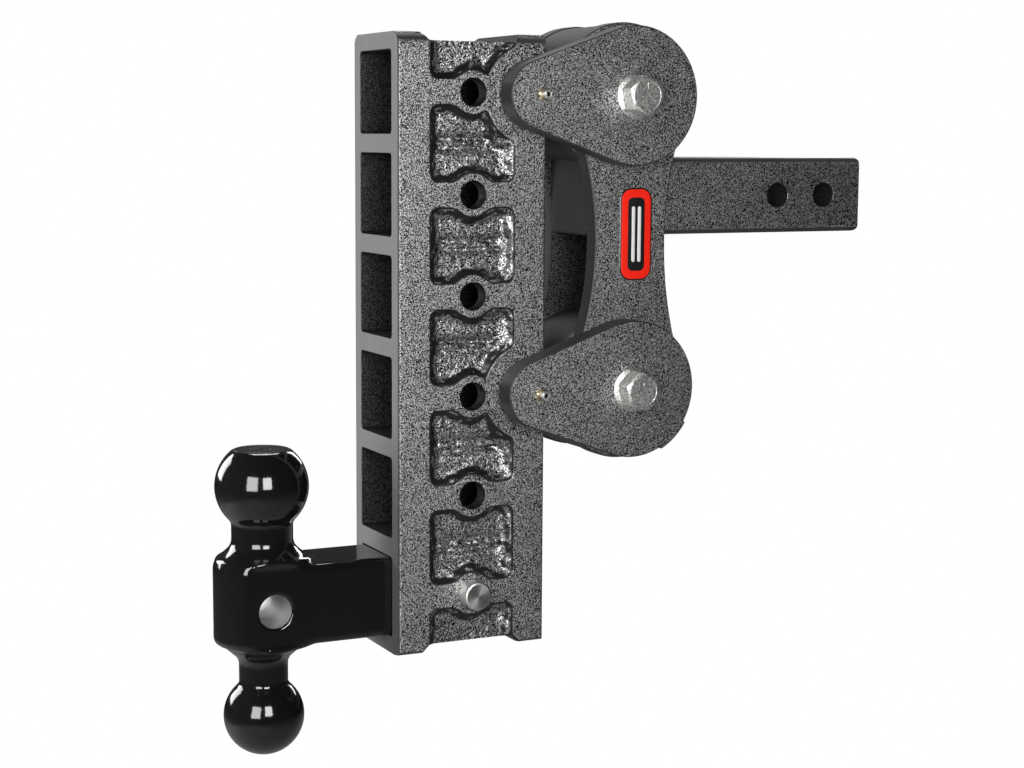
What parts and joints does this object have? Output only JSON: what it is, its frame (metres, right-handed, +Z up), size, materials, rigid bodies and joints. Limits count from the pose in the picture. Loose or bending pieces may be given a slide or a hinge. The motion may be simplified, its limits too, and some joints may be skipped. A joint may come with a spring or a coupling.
{
  "type": "adjustable drop hitch with ball mount",
  "caption": "Height-adjustable drop hitch: a square shank carries a column of stacked receivers on rubber torsion arms, with a two-ball mount pinned into the lowest receiver.",
  "frame": {"origin": "centre of the hitch pin hole in the shank", "axes": "+X along the shank towards the vehicle, +Z up, +Y across the hitch along the pin holes"},
  "size_m": [0.4591, 0.1437, 0.462],
  "materials": {
    "hammer_paint": "silver-vein hammered powder coat, dark grey, semi gloss",
    "gloss_black": "gloss black powder coat",
    "zinc_steel": "bright zinc plated",
    "stainless": "turned stainless steel",
    "plain_steel": "machined steel, oiled",
    "yellow_zinc": "yellow zinc plated",
    "bronze": "oiled bearing bronze",
    "key_brass": "machined brass",
    "rubber": "matt black rubber",
    "label_red": "domed gloss label"
  },
  "bodies": {
    "hitch_body": {"shank": "hammer_paint", "side_plate_near": "hammer_paint", "side_plate_far": "hammer_paint", "upper_torsion_housing": "hammer_paint", "lower_torsion_housing": "hammer_paint", "journal_bushings": "bronze", "label_plate": "label_red", "upper_rubber_cords": "rubber", "lower_rubber_cords": "rubber"},
    "upper_arms": {"upper_arm_near": "hammer_paint", "upper_arm_far": "hammer_paint", "upper_torsion_bar": "plain_steel", "upper_arm_bolts": "zinc_steel", "upper_grease_fittings": "yellow_zinc", "upper_pivot_bushings": "bronze"},
    "lower_arms": {"lower_arm_near": "hammer_paint", "lower_arm_far": "hammer_paint", "lower_torsion_bar": "plain_steel", "lower_arm_bolts": "zinc_steel", "lower_grease_fittings": "yellow_zinc", "lower_pivot_bushings": "bronze"},
    "column": {"receiver_tube_1": "hammer_paint", "receiver_tube_2": "hammer_paint", "receiver_tube_3": "hammer_paint", "receiver_tube_4": "hammer_paint", "receiver_tube_5": "hammer_paint", "receiver_tube_6": "hammer_paint", "tube_seam_welds": "hammer_paint", "column_plate_near": "hammer_paint", "column_plate_far": "hammer_paint", "column_end_bars": "hammer_paint", "pivot_bosses": "hammer_paint", "pivot_pins": "plain_steel", "ball_mount": "gloss_black"},
    "pin": {"lock_pin": "stainless"},
    "lock": {"lock_barrel": "gloss_black"},
    "key_core": {"lock_core": "key_brass"},
    "cap": {"dust_cap": "rubber"}
  },
  "joints": [
    {"name": "upper_torsion", "type": "hinge", "parent": "hitch_body", "child": "upper_arms", "pos_m": [-0.127, 0, 0.06465], "axis": [0, 1, 0], "range_deg": [-20, 12], "stiffness_Nm_per_rad": 2500, "deforming": ["upper_rubber_cords"]},
    {"name": "lower_torsion", "type": "hinge", "parent": "hitch_body", "child": "lower_arms", "pos_m": [-0.127, 0, -0.12335], "axis": [0, 1, 0], "range_deg": [-20, 12], "stiffness_Nm_per_rad": 2500, "deforming": ["lower_rubber_cords"]},
    {"name": "column_pivot", "type": "hinge", "parent": "upper_arms", "child": "column", "pos_m": [-0.194, 0, 0.06465], "axis": [0, 1, 0], "range_deg": [-12, 20]},
    {"name": "pin_slide", "type": "slide", "parent": "column", "child": "pin", "axis": [0, -1, 0], "range_m": [0, 0.1]},
    {"name": "lock_slide", "type": "slide", "parent": "column", "child": "lock", "axis": [0, 1, 0], "range_m": [0, 0.05]},
    {"name": "key_turn", "type": "hinge", "parent": "lock", "child": "key_core", "pos_m": [-0.2332, 0, -0.2518], "axis": [0, 1, 0], "range_deg": [0, 90]},
    {"name": "cap_slide", "type": "slide", "parent": "lock", "child": "cap", "axis": [0, 1, 0], "range_m": [0, 0.03]}
  ],
  "couplings": [
    {"joint": "lower_torsion", "follows": "upper_torsion", "ratio": 1},
    {"joint": "column_pivot", "follows": "upper_torsion", "ratio": -1}
  ]
}
